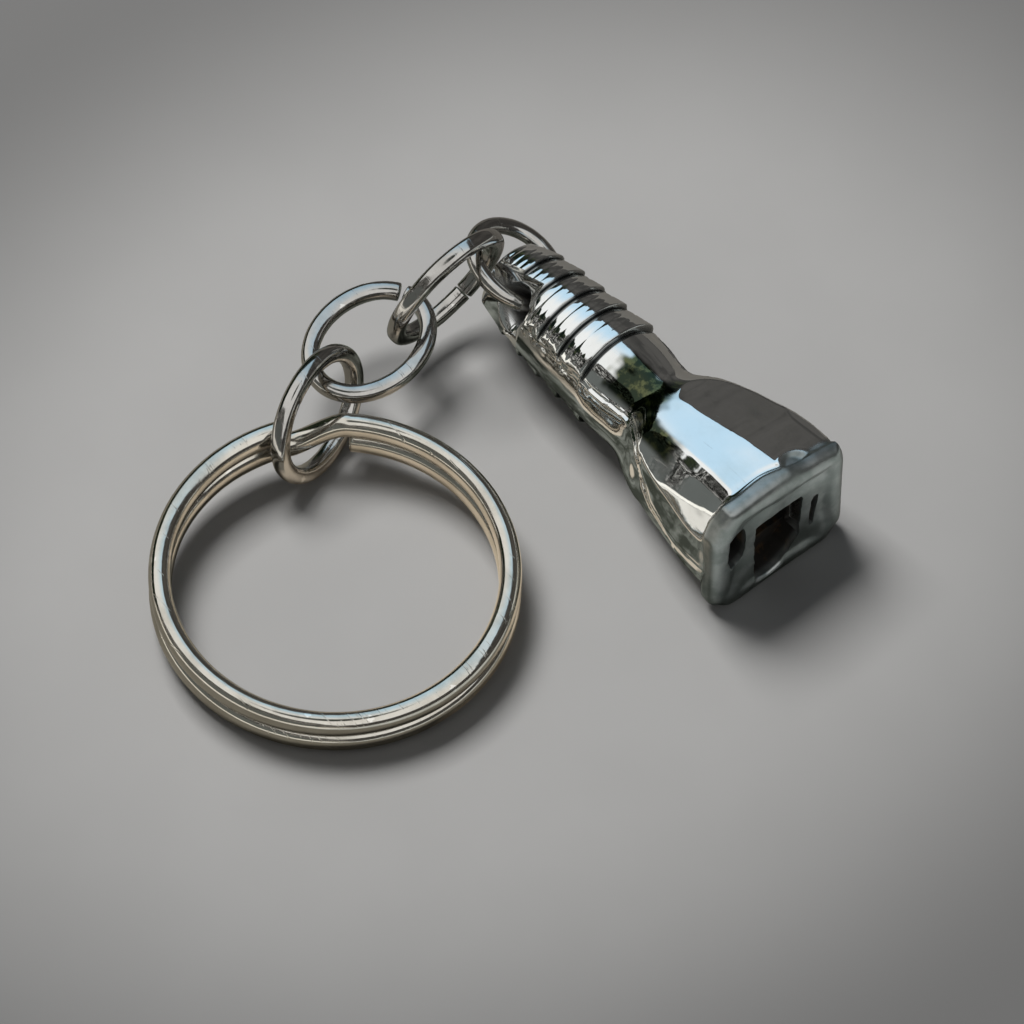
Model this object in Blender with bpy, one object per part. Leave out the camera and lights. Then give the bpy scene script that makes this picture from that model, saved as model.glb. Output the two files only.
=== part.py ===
"""Radiator bleed key on a short chain with a split ring.

Frame: +X runs along the key from the tail to the mouth of the drive socket,
+Z is up, and the origin is the centre of the socket's floor. Sizes below are
in millimetres and angles in degrees; the meshes are built in metres.

A station is a distance along the key, measured from the foot of the tail dome.
"""
import math

import bpy
import bmesh
from mathutils import Matrix, Vector

MM = 0.001

# ---- key casting: length and grip -----------------------------------------
LENGTH = 35.7             # station of the socket mouth
LOOP_POINTS = 64          # points round a section
TAIL_DOME = 0.70          # length of the domed tip behind station 0
DOME_SCALES = (0.35, 0.65, 0.85, 0.96)  # dome sections, as parts of section 0
DOME_POWER = 2.6
GRIP_TAIL_R = 3.55        # grip radius at station 0
GRIP_GAIN = 1.15          # radius gained quickly from the tail on
GRIP_GAIN_RUN = 5.5       # decay length of that gain
GRIP_TAPER = 0.014        # steady gain in radius per millimetre
WAIST_AT = 18.8           # middle of the neck's dip
WAIST_DIP = 0.50
WAIST_RUN = 2.4           # how far the dip spreads each way

# ---- key casting: ribs ------------------------------------------------------
RIB_EDGES = (0.45, 2.75, 5.35, 8.0, 10.7, 13.9)  # a rib lies between neighbours
RIB_DEPTH = 0.48          # height scale of a rib
RIB_FOOT = 0.18           # rib height at its start, in depths
RIB_RISE = 0.92           # height gained along the rib, in depths
RIB_CURVE = 0.8           # exponent of that gain
RIB_STATIONS = (0.035, 0.5, 0.93)  # sections of a rib, as parts of its length
RIB_END_BACK = 0.03       # the last section stands this far before the rib's end
RIB_END_SCALE = 0.86      # and is this much of the full height
RIB_SPREAD_TOP = 58.0     # ribs fade out about this far from the top line
RIB_SPREAD_UNDER = 46.0   # and about this far from the bottom line
FADE_BEFORE = 9.0         # the fade starts this far inside the spread
FADE_AFTER = 5.0          # and ends this far outside it

# ---- key casting: head --------------------------------------------------------
FLARE_START = 19.2        # where the grip begins to widen into the head
# half size at the shoulder and mouth, end of the flare, run of the later growth
HEAD_WIDTH = dict(shoulder=6.35, mouth=7.5, flare_end=25.0, growth=(23.5, LENGTH - 1.5))
HEAD_HEIGHT = dict(shoulder=5.80, mouth=6.7, flare_end=23.8, growth=(24.0, LENGTH - 5.0))
HEAD_START_GAP = 0.06     # first plain section after the ribs
HEAD_STEP = 0.95          # spacing of the plain sections
RIM_R = 1.05              # roll of the rim round the mouth
RIM_GAP = 0.3             # plain sections stop this far before the roll
RIM_STEPS = 5

# ---- cuts in the head -----------------------------------------------------------
SOCKET = 5.2              # square drive, across flats
SOCKET_DEPTH = 11.0
MOUTH_X = SOCKET_DEPTH    # the origin is the middle of the socket floor
RECESS_DROP = 2.3         # the mouth recess runs this far below the socket
RECESS_DEPTH = 2.4
POCKET_DEPTH = 7.0
MOUTH_OVERRUN = 2.0       # cutters run this far past the mouth
TABLE_Z = -6.28           # the head rests on a small flat here
REST_RUN = 20.0           # the rest's cutter reaches this far back from the mouth
REST_HALF_W = 9.0
REST_CUT_H = 3.0

# ---- eye ring and its hole ---------------------------------------------------------
EYE_AT = 3.89             # station of the cross hole
EYE_TILT = -26.5          # cross hole against the horizontal
EYE_SWING = 15.8          # rest swing of the ring about the hole
EYE_R = 4.25              # centre line radius
EYE_WIRE = 0.74           # wire radius
EYE_POINTS = 44           # sections round the ring
EYE_PLAY = 0.22           # wire to hole
HOLE_EASE = 1.015         # factor on the hole's radius
HOLE_REACH = 2.95         # half length of the opened-out hole
HOLE_OVERRUN = 3.0        # straight run of the cutter beyond each end
HOLE_STEPS = 10
HOLE_POINTS = 28
HOLE_FADE = (84.0, 128.0)  # the opening fades out between these angles from the tail
FLAT_AT = 2.70            # flats round the hole, from the key's axis
FLAT_BACK = 6.5           # cutter reach from the hole towards the tail
FLAT_RUN = 1.2            # how far the flats run past the hole
FLAT_RAMP = 1.3           # length of the slope that ends a flat
FLAT_CUT_TOP = 5.6        # outer face of the cutter, from the key's axis
FLAT_HALF_W = 6.0

# ---- chain links ---------------------------------------------------------------
WIRE_POINTS = 12          # points round every wire
LINK_WIRE = 0.78          # wire radius
LINK_POWER = 2.5          # section exponent, 2 is round
LINK_A = 5.90             # half length of the centre line
LINK_B = 4.40             # half width of the centre line
LINK_GAP = 0.55           # open gap at the cut
LINK_GAP_EASE = 1.1       # factor on the gap's angle
LINK_STEPS = 40

# ---- split ring -----------------------------------------------------------------
RING_R = 16.0             # outer radius
RING_W = 1.95             # radial width of the wire
RING_T = 2.20             # height of one strand
RING_POWER = 2.4          # section exponent
RING_SEAM = 0.14          # air between the strands
RING_JOG = 20.0           # arc over which the wire climbs one strand
RING_JOG_AT = 146.0       # middle of that arc
RING_END_GAP = 0.8        # arc between a wire end and the climb
RING_STEPS = 112

# ---- where the chain lies ----------------------------------------------------------
# rot is a rotation vector in radians, cut_at the angle of the cut in degrees,
# joint the object's origin
LINKS = {
    "chain_link_3": dict(centre=(-26.602, -6.038, 1.753), rot=(-0.738, -1.278, 0.927),
                         cut_at=84, joint=(-28.146, -1.394, 3.011)),
    "chain_link_2": dict(centre=(-27.381, -14.083, -0.107), rot=(0.125, 0.061, 1.698),
                         cut_at=17, joint=(-26.762, -11.448, -0.565)),
    "chain_link_1": dict(centre=(-24.895, -21.984, -1.170), rot=(-1.062, -1.762, 1.159),
                         cut_at=68, joint=(-27.923, -19.845, -0.230)),
}
# the ring's edge rests on link 1's wire, so it leans up towards that side
RING = dict(centre=(-11.500, -31.118, TABLE_Z), lean=3.70, toward=152.8,
            joint=(-22.981, -27.512, -1.214))


# ---- scene and mesh helpers ----------------------------------------------------------
def clear():
    for obj in list(bpy.data.objects):
        bpy.data.objects.remove(obj, do_unlink=True)


def metal(name, colour, roughness):
    mat = bpy.data.materials.new(name)
    mat.use_nodes = True
    bsdf = mat.node_tree.nodes["Principled BSDF"]
    bsdf.inputs["Base Color"].default_value = colour
    bsdf.inputs["Metallic"].default_value = 1.0
    bsdf.inputs["Roughness"].default_value = roughness
    mat.diffuse_color = colour
    return mat


def tube(sections, closed):
    """Vertices and faces through equal loops of points, capped when not closed."""
    count, size = len(sections), len(sections[0])
    verts = [point for loop in sections for point in loop]
    faces = []
    for i in range(count if closed else count - 1):
        j = (i + 1) % count
        for k in range(size):
            m = (k + 1) % size
            faces.append((i * size + k, i * size + m, j * size + m, j * size + k))
    if not closed:
        faces.append(tuple(range(size - 1, -1, -1)))
        faces.append(tuple((count - 1) * size + k for k in range(size)))
    return verts, faces


def loft(name, sections, mat=None, closed=False, sharp_angle=35.0):
    """An object skinned over loops of points in millimetres."""
    verts, faces = tube(sections, closed)
    mesh = bpy.data.meshes.new(name)
    mesh.from_pydata([tuple(c * MM for c in vert) for vert in verts], [], faces)
    mesh.update()
    bm = bmesh.new()
    bm.from_mesh(mesh)
    bmesh.ops.recalc_face_normals(bm, faces=bm.faces)
    bm.to_mesh(mesh)
    bm.free()
    obj = bpy.data.objects.new(name, mesh)
    bpy.context.scene.collection.objects.link(obj)
    if mat is not None:
        mesh.materials.append(mat)
    mesh.shade_smooth()
    mesh.set_sharp_from_angle(angle=math.radians(sharp_angle))
    return obj


def set_origin(obj, point):
    """Moves the object's origin to a point without moving its surface."""
    shift = Vector(point) * MM
    obj.data.transform(Matrix.Translation(-shift))
    obj.location = shift


def smoothstep(x, low, high):
    t = min(max((x - low) / (high - low), 0.0), 1.0)
    return t * t * (3.0 - 2.0 * t)


def superellipse(u, v, power):
    """Factor that brings the direction (u, v) onto the unit superellipse."""
    return (abs(u) ** power + abs(v) ** power) ** (-1.0 / power)


# ---- key casting ------------------------------------------------------------------
def station_x(station):
    return MOUTH_X - LENGTH + station


def grip_radius(station):
    """Radius of the grip without ribs."""
    gain = GRIP_GAIN * (1.0 - math.exp(-station / GRIP_GAIN_RUN))
    dip = WAIST_DIP * math.exp(-(((station - WAIST_AT) / WAIST_RUN) ** 2))
    return GRIP_TAIL_R + gain + GRIP_TAPER * station - dip


def half_size(station, shoulder, mouth, flare_end, growth):
    grip = grip_radius(station)
    flare = smoothstep(station, FLARE_START, flare_end)
    late = smoothstep(station, *growth)
    return grip + (shoulder - grip) * flare + (mouth - shoulder) * late


def squareness(station):
    """Exponent of the section: 2 is round, larger is squarer."""
    return (2.0 + 3.0 * smoothstep(station, 18.0, 24.5)
            + 2.8 * smoothstep(station, 24.0, LENGTH))


def rib_height(part):
    """Height above the plain grip at this part of a rib's length."""
    return RIB_DEPTH * (RIB_FOOT + RIB_RISE * part ** RIB_CURVE)


def section(station, rib=0.0, inset=0.0):
    half_w = half_size(station, **HEAD_WIDTH) - inset
    half_h = half_size(station, **HEAD_HEIGHT) - inset
    power = squareness(station)
    loop = []
    for k in range(LOOP_POINTS):
        angle = 2.0 * math.pi * k / LOOP_POINTS
        cos, sin = math.cos(angle), math.sin(angle)
        from_vertical = math.degrees(math.asin(abs(cos)))
        spread = RIB_SPREAD_TOP if sin > 0.0 else RIB_SPREAD_UNDER
        fade = 1.0 - smoothstep(from_vertical, spread - FADE_BEFORE, spread + FADE_AFTER)
        radius = superellipse(cos / half_w, sin / half_h, power) + rib * fade
        loop.append((station_x(station), radius * cos, radius * sin))
    return loop


def dome_section(scale):
    x = station_x(-TAIL_DOME * math.sqrt(1.0 - scale ** DOME_POWER))
    return [(x, y * scale, z * scale) for _, y, z in section(0.0)]


def rib_sections(start, end):
    loops = []
    for part in RIB_STATIONS:
        loops.append(section(start + part * (end - start), rib_height(part)))
    loops.append(section(end - RIB_END_BACK, rib_height(1.0) * RIB_END_SCALE))
    return loops


def rim_sections():
    """Quarter round that turns in from the outside to the mouth's face."""
    loops = []
    for i in range(RIM_STEPS + 1):
        angle = math.pi * 0.5 * i / RIM_STEPS
        station = LENGTH - RIM_R + RIM_R * math.sin(angle)
        loops.append(section(station, inset=RIM_R * (1.0 - math.cos(angle))))
    return loops


def body_sections():
    loops = [dome_section(scale) for scale in DOME_SCALES]
    loops += [section(0.0), section(RIB_EDGES[0])]
    for start, end in zip(RIB_EDGES, RIB_EDGES[1:]):
        loops += rib_sections(start, end)
    station = RIB_EDGES[-1] + HEAD_START_GAP
    while station < LENGTH - RIM_R - RIM_GAP:
        loops.append(section(station))
        station += HEAD_STEP
    return loops + rim_sections()


# ---- cutters ------------------------------------------------------------------------
def cutter(name, sections):
    obj = loft(name, sections)
    obj.hide_render = True
    obj.display_type = "WIRE"
    return obj


def mouth_cutter(name, outline, depth):
    """Prism of (y, z) points that runs from this depth out through the mouth."""
    ends = (MOUTH_X - depth, MOUTH_X + MOUTH_OVERRUN)
    return cutter(name, [[(x, y, z) for y, z in outline] for x in ends])


def rounded_rect(y0, y1, z0, z1, radius, steps):
    corners = (
        (y1 - radius, z1 - radius, 0),
        (y0 + radius, z1 - radius, 90),
        (y0 + radius, z0 + radius, 180),
        (y1 - radius, z0 + radius, 270),
    )
    points = []
    for y, z, start in corners:
        for k in range(steps + 1):
            angle = math.radians(start + 90.0 * k / steps)
            points.append((y + radius * math.cos(angle), z + radius * math.sin(angle)))
    return points


def mouth_cutters():
    """Socket, recess, two side pockets and the rest; left is -Y, seen into the mouth."""
    half = SOCKET / 2.0
    socket = rounded_rect(-half, half, -half, half, radius=0.25, steps=3)
    recess = rounded_rect(-half, half, -half - RECESS_DROP, half, radius=0.35, steps=4)
    left = rounded_rect(-6.05, -3.75, -0.9, 3.8, radius=0.5, steps=4)
    right = rounded_rect(3.45, 4.45, -2.9, 1.3, radius=0.40, steps=4)
    rest_foot = TABLE_Z - REST_CUT_H
    rest = [(-REST_HALF_W, TABLE_Z), (REST_HALF_W, TABLE_Z),
            (REST_HALF_W, rest_foot), (-REST_HALF_W, rest_foot)]
    return [
        mouth_cutter("cutter_socket", socket, SOCKET_DEPTH),
        mouth_cutter("cutter_recess", recess, RECESS_DEPTH),
        mouth_cutter("cutter_left", left, POCKET_DEPTH),
        mouth_cutter("cutter_right", right, POCKET_DEPTH),
        mouth_cutter("cutter_rest", rest, REST_RUN),
    ]


def hole_frame():
    """Centre and axis of the tail's cross hole, and the direction the eye ring hangs in."""
    tilt, swing = math.radians(EYE_TILT), math.radians(EYE_SWING)
    key_axis = Vector((1.0, 0.0, 0.0))
    axis = Vector((0.0, math.cos(tilt), math.sin(tilt)))
    hang = -key_axis * math.cos(swing) + key_axis.cross(axis) * math.sin(swing)
    centre = Vector((station_x(EYE_AT), 0.0, 0.0))
    return centre, axis.normalized(), hang.normalized()


def eye_cutter():
    """Hole for the eye ring, opened out towards the tail so that the round ring can swing."""
    centre, axis, _ = hole_frame()
    back = Vector((-1.0, 0.0, 0.0))
    side = axis.cross(back)
    plain = EYE_WIRE + EYE_PLAY
    inner = EYE_R - plain
    loops = []
    for i in range(HOLE_STEPS + 1):
        along = HOLE_REACH * math.sin(math.pi * 0.5 * (2.0 * i / HOLE_STEPS - 1.0))
        wide = EYE_R - math.sqrt(inner ** 2 - along * along)
        loop = []
        for k in range(HOLE_POINTS):
            angle = 2.0 * math.pi * (k + 0.5) / HOLE_POINTS
            from_back = math.degrees(math.acos(math.cos(angle)))
            opening = 1.0 - smoothstep(from_back, *HOLE_FADE)
            radius = HOLE_EASE * (plain + (wide - plain) * opening)
            loop.append(centre + axis * along + back * (radius * math.cos(angle))
                        + side * (radius * math.sin(angle)))
        loops.append(loop)
    # run straight on past the flats
    overrun = axis * HOLE_OVERRUN
    first = [point - overrun for point in loops[0]]
    last = [point + overrun for point in loops[-1]]
    return cutter("cutter_eye", [first, *loops, last])


def flat_cutter(name, side):
    """Flat on one side (+1 or -1) of the tail round the cross hole."""
    centre, axis, _ = hole_frame()
    key_axis = Vector((1.0, 0.0, 0.0))
    across = axis.cross(key_axis)
    profile = (
        # along the key from the hole, out from the key's axis
        (-FLAT_BACK, FLAT_AT),
        (FLAT_RUN, FLAT_AT),
        (FLAT_RUN + FLAT_RAMP, FLAT_CUT_TOP),
        (-FLAT_BACK, FLAT_CUT_TOP),
    )
    return cutter(name, [
        [centre + key_axis * x + axis * (side * out) + across * offset for x, out in profile]
        for offset in (-FLAT_HALF_W, FLAT_HALF_W)
    ])


def cut(target, tool):
    mod = target.modifiers.new("cut_" + tool.name, "BOOLEAN")
    mod.operation = "DIFFERENCE"
    mod.solver = "EXACT"
    mod.object = tool


def key_body(mat):
    body = loft("key_body", body_sections(), mat, sharp_angle=28.0)
    tools = mouth_cutters()
    tools += [eye_cutter(), flat_cutter("cutter_flat_a", 1), flat_cutter("cutter_flat_b", -1)]
    for tool in tools:
        cut(body, tool)


# ---- wire pieces -----------------------------------------------------------------------
def wire_loop(point, across, up, half_w, half_h, power):
    """Section of a wire about a point of its centre line."""
    loop = []
    for k in range(WIRE_POINTS):
        angle = 2.0 * math.pi * (k + 0.5) / WIRE_POINTS
        cos, sin = math.cos(angle), math.sin(angle)
        factor = superellipse(cos, sin, power)
        loop.append(point + across * (half_w * factor * cos) + up * (half_h * factor * sin))
    return loop


def eye_ring(mat):
    centre, axis, hang = hole_frame()
    middle = centre + hang * EYE_R
    up = axis.cross(hang)
    loops = []
    for k in range(EYE_POINTS):
        angle = 2.0 * math.pi * k / EYE_POINTS
        radial = axis * math.cos(angle) + hang * math.sin(angle)
        loops.append(wire_loop(middle + radial * EYE_R, -radial, up,
                               EYE_WIRE, EYE_WIRE, power=2.0))
    set_origin(loft("eye_ring", loops, mat, closed=True), centre)


def chain_link(name, centre, rot, cut_at, joint, mat):
    """An oval link of bent wire, open at its cut."""
    rot = Vector(rot)
    turn = Matrix.Rotation(rot.length, 3, rot.normalized())
    up = turn @ Vector((0.0, 0.0, 1.0))
    half_gap = math.degrees(LINK_GAP / (2.0 * LINK_A)) * LINK_GAP_EASE
    loops = []
    for k in range(LINK_STEPS + 1):
        angle = math.radians(cut_at + half_gap + (360.0 - 2.0 * half_gap) * k / LINK_STEPS)
        cos, sin = math.cos(angle), math.sin(angle)
        point = Vector(centre) + turn @ Vector((LINK_A * cos, LINK_B * sin, 0.0))
        tangent = turn @ Vector((-LINK_A * sin, LINK_B * cos, 0.0)).normalized()
        across = up.cross(tangent).normalized()
        loops.append(wire_loop(point, across, up, LINK_WIRE, LINK_WIRE, LINK_POWER))
    set_origin(loft(name, loops, mat), joint)


def split_ring(centre, lean, toward, joint, mat):
    """Nearly two turns of flat wire that climbs one strand over a short arc."""
    centre = Vector(centre)
    up = Vector((0.0, 0.0, 1.0))
    heading = math.radians(toward)
    out = Vector((math.cos(heading), math.sin(heading), 0.0))
    # the ring tips about the edge opposite the side it leans up on
    foot = centre - out * RING_R
    tip = Matrix.Rotation(math.radians(lean), 3, out.cross(up))
    # turns are measured clockwise, seen from above, from the middle of the climb
    first_turn = RING_JOG / 2.0 + RING_END_GAP
    sweep = 720.0 - 2.0 * first_turn + RING_JOG - RING_JOG
    sweep = 720.0 - RING_JOG - 2.0 * RING_END_GAP
    loops = []
    for i in range(RING_STEPS + 1):
        turn = first_turn + sweep * i / RING_STEPS
        climb = smoothstep(turn, 360.0 - RING_JOG / 2.0, 360.0 + RING_JOG / 2.0)
        height = RING_T / 2.0 + (RING_T + RING_SEAM) * climb
        angle = math.radians(RING_JOG_AT - turn)
        radial = Vector((math.cos(angle), math.sin(angle), 0.0))
        point = centre + up * height + radial * (RING_R - RING_W / 2.0)
        loop = wire_loop(point, radial, up, RING_W / 2.0, RING_T / 2.0, RING_POWER)
        loops.append([foot + tip @ (p - foot) for p in loop])
    set_origin(loft("split_ring", loops, mat), joint)


def main():
    clear()
    chrome = metal(name="chrome", colour=(0.78, 0.79, 0.80, 1.0), roughness=0.10)
    nickel = metal(name="nickel", colour=(0.70, 0.68, 0.63, 1.0), roughness=0.22)
    key_body(chrome)
    eye_ring(nickel)
    for name, pose in LINKS.items():
        chain_link(name, mat=nickel, **pose)
    split_ring(mat=nickel, **RING)


main()
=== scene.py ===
"""Looks for the radiator bleed key: chrome casting, nickel chain and split ring.

The key lies along X with its mouth at +X and its tail at -X; +Z is up. The eye ring hangs
from the tail, and the chain runs from it towards -Y to the split ring on the floor.
Sizes are in millimetres unless noted; meshes are scaled to metres as they are made.
"""
import math

import bpy
import bmesh
import numpy as np
from mathutils import Matrix, Vector


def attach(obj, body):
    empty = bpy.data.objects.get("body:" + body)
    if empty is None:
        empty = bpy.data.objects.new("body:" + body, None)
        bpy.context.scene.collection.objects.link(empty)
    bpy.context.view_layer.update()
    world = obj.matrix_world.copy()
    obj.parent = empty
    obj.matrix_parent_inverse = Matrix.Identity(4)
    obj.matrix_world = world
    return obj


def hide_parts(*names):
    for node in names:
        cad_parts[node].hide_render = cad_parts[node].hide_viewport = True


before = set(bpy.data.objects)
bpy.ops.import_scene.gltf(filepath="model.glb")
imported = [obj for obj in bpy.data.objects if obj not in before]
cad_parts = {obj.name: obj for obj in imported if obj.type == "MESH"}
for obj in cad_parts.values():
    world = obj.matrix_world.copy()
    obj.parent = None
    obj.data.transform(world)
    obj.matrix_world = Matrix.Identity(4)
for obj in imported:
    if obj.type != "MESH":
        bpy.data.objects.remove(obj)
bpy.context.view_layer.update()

MM = 0.001

# ---- driving sizes, the same as the frame's ----------------------------------
LENGTH = 35.7
TAIL_DOME = 0.70
MOUTH_X = 11.0
TAIL_X = MOUTH_X - LENGTH
MOUTH_HALF_W, MOUTH_HALF_H = 7.5, 6.7
HEAD_HALF_W, HEAD_HALF_H = 6.35, 5.80
RIB_STARTS = (0.45, 2.75, 5.35, 8.0, 10.7, 13.9)  # the last is where the ribs end
RIB_TALL = (0.38, 0.42, 0.44, 0.50, 0.54)

SOCKET = 5.2
SOCKET_HALF = SOCKET / 2.0
SOCKET_DROP = 2.9  # how far the recess reaches below the socket
RECESS_LOW = -SOCKET_HALF - SOCKET_DROP
RECESS_DEPTH = 2.4
POCKET_DEPTH = 7.0

EYE_AT, EYE_TILT, EYE_SWING = 3.89, -26.5, 15.8  # from the tail; degrees; degrees
EYE_R, EYE_WIRE, EYE_PLAY = 4.25, 0.74, 0.22
FLAT_AT, FLAT_RUN = 2.70, 1.2

WIRE_R, LINK_A, LINK_B = 0.78, 5.90, 4.40  # wire radius, link half length and half width
RING_R, RING_W, RING_T, RING_SEAM = 16.0, 1.95, 2.20, 0.14
RING_JOG, RING_JOG_AT = 20.0, 146.0  # degrees
RING_END_GAP = 1.4  # degrees from each wire end to the jog
TABLE_Z = -6.28
RING_AT, RING_LEAN, RING_TOWARD = (-11.500, -31.118, TABLE_Z), 3.70, 152.8

# node, ridden part, centre, rotation vector (radians), cut angle (degrees), gap, end chamfer
LINKS = (
    ("chain_link_3", "link_3", (-26.602, -6.038, 1.753), (-0.738, -1.278, 0.927), 84, 0.10, 0.09),
    ("chain_link_2", "link_2", (-27.381, -14.083, -0.107), (0.125, 0.061, 1.698), 17, 0.55, 0.16),
    ("chain_link_1", "link_1", (-24.895, -21.984, -1.170), (-1.062, -1.762, 1.159), 68, 0.10, 0.09),
)

# stage, metres
FLOOR_AT = (-0.0100, -0.0140)
CAMERA_AZIMUTH, CAMERA_ELEVATION, CAMERA_DISTANCE = math.radians(49.8), math.radians(54.5), 0.700
CAMERA_TARGET = (-0.00878, -0.01352, -0.00622)

LATTICE = np.random.default_rng(11).uniform(-1.0, 1.0, (32, 32, 32))


# ---- shaping helpers ---------------------------------------------------------
def noise(p, scale, seed=0):
    """Smooth lattice noise, about -1 to 1, at points p (n, 3)."""
    q = np.asarray(p, float) / scale + np.array([seed * 7.31, seed * 3.77, seed * 5.13])
    cell = np.floor(q).astype(int)
    f = q - cell
    near = f * f * (3.0 - 2.0 * f)
    out = 0.0
    for corner in np.ndindex(2, 2, 2):
        wx, wy, wz = (near[:, k] if corner[k] else 1 - near[:, k] for k in range(3))
        out = out + wx * wy * wz * LATTICE[tuple(((cell + corner) % 32).T)]
    return out


def rise(x, lo, hi):
    """Smooth step from 0 at lo to 1 at hi."""
    f = np.clip((np.asarray(x, float) - lo) / (hi - lo), 0.0, 1.0)
    return f * f * (3.0 - 2.0 * f)


def fall(x, lo, hi):
    """Smooth step from 1 at lo to 0 at hi."""
    return 1.0 - rise(x, lo, hi)


def bell(x, at, width):
    """Bell curve of height 1 centred at at."""
    return np.exp(-(((x - at) / width) ** 2))


def softmin(a, b, blend):
    h = np.clip(0.5 + 0.5 * (b - a) / blend, 0.0, 1.0)
    return b * (1 - h) + a * h - blend * h * (1 - h)


# ---- mesh helpers ------------------------------------------------------------
def finish_mesh(name, verts, faces, mat=None, sharp_angle=0.0):
    """A smooth-shaded object; edges above sharp_angle degrees are marked if it is given."""
    mesh = bpy.data.meshes.new(name)
    mesh.from_pydata((np.asarray(verts) * MM).tolist(), [], faces)
    mesh.update()
    bm = bmesh.new()
    bm.from_mesh(mesh)
    bmesh.ops.recalc_face_normals(bm, faces=bm.faces)
    bm.to_mesh(mesh)
    bm.free()
    obj = bpy.data.objects.new(name, mesh)
    bpy.context.scene.collection.objects.link(obj)
    if mat is not None:
        mesh.materials.append(mat)
    mesh.shade_smooth()
    if sharp_angle:
        mesh.set_sharp_from_angle(angle=math.radians(sharp_angle))
    return obj


def grid_mesh(name, pts, closed=False, mat=None, sharp_angle=0.0):
    """A tube from pts (rows, columns, 3); columns wrap round. Open tubes get end caps."""
    rows, cols = pts.shape[:2]
    row, col = np.meshgrid(np.arange(rows if closed else rows - 1), np.arange(cols), indexing="ij")
    next_row, next_col = (row + 1) % rows, (col + 1) % cols
    corners = [row * cols + col, row * cols + next_col,
               next_row * cols + next_col, next_row * cols + col]
    faces = np.stack(corners, -1).reshape(-1, 4).tolist()
    if not closed:
        faces.append(list(range(cols - 1, -1, -1)))
        faces.append([(rows - 1) * cols + k for k in range(cols)])
    return finish_mesh(name, pts.reshape(-1, 3), faces, mat, sharp_angle)


# ---- key casting -------------------------------------------------------------
# t is the distance from the tail along +X; a is in degrees from +Y towards +Z.
def grip_radius(t):
    grip = 3.55 + 1.15 * (1.0 - np.exp(-np.maximum(t, 0.0) / 5.5)) + 0.014 * t
    return grip - 0.50 * bell(t, 18.8, 2.4)


def half_width(t):
    grip = grip_radius(t)
    to_head = (HEAD_HALF_W - grip) * rise(t, 19.0, 27.2)
    return grip + to_head + (MOUTH_HALF_W - HEAD_HALF_W) * rise(t, 23.0, LENGTH - 3.5)


def half_height(t):
    grip = grip_radius(t)
    to_head = (HEAD_HALF_H - grip) * rise(t, 19.3, 26.8)
    return grip + to_head + (MOUTH_HALF_H - HEAD_HALF_H) * rise(t, 24.0, LENGTH - 5.0)


def squareness(t):
    """Superellipse power of the section: 2 is round."""
    return 2.0 + 3.0 * rise(t, 19.0, 26.5) + 2.8 * rise(t, 25.5, LENGTH)


def from_vertical(a):
    """Degrees between angle a and the nearer of straight up and straight down."""
    return np.degrees(np.arcsin(np.clip(np.abs(np.cos(np.radians(a))), 0.0, 1.0)))


def rib_height(t):
    """Ribs that climb towards the mouth and drop into a fine groove."""
    height = np.zeros_like(t)
    for lo, hi, tall in zip(RIB_STARTS, RIB_STARTS[1:], RIB_TALL):
        f = np.clip((t - lo) / (hi - lo), 0.0, 1.0)
        rib = tall * (0.12 + 0.96 * f ** 0.75) * (1.0 - 0.55 * rise(t, hi - 0.10, hi))
        for at, deep in ((0.36, 0.050), (0.68, 0.038)):
            rib = rib - deep * bell((f - at) * (hi - lo), 0.0, 0.075)
        height = np.where((t >= lo) & (t < hi), rib, height)
        height = height - 0.13 * bell(t - hi, 0.05, 0.085)
    return height


# parting line on the -Y side: station t, angle a
LEDGE = (
    (14.6, 146), (16.4, 146), (18.3, 145), (20.8, 142), (22.2, 146), (23.3, 158),
    (24.0, 176), (25.6, 192), (28.3, 199), (31.6, 197), (33.4, 196),
)
BAND = ((0.6, 160), (2.5, 150), (5.0, 147), (8.0, 148), (12.0, 150), (14.8, 147))


def polyline_gap(t, a, line):
    """Distance from a line of (t, a) stations round the casting, and a mask over its run."""
    stations, angles = np.array(line, float).T
    slope = np.interp(t, stations, np.gradient(angles, stations))
    per_degree = 5.6 * math.pi / 180.0
    off = (a - np.interp(t, stations, angles)) * per_degree
    gap = off / np.sqrt(1.0 + (slope * per_degree) ** 2)
    first, last = stations[0], stations[-1]
    return gap, rise(t, first - 0.6, first + 0.8) * fall(t, last - 0.4, last + 0.5)


def dent_place(t, a):
    """Place along X in the arched dent near the lip, and distance from its middle (edge = 1)."""
    along = (t - (LENGTH - 1.55)) / 1.15
    across = (a - 67.0) * math.pi / 180.0 * 6.6 / 1.35
    return along, np.sqrt(along * along + across * across)


def cut_facet(r, a, middle, depth, blend):
    """Trim r to a flat whose normal points at middle degrees, depth from the axis."""
    facing = np.cos(np.radians(a - middle))
    return np.where(facing > 0.5, softmin(r, depth / np.maximum(facing, 0.5), blend), r)


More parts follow.
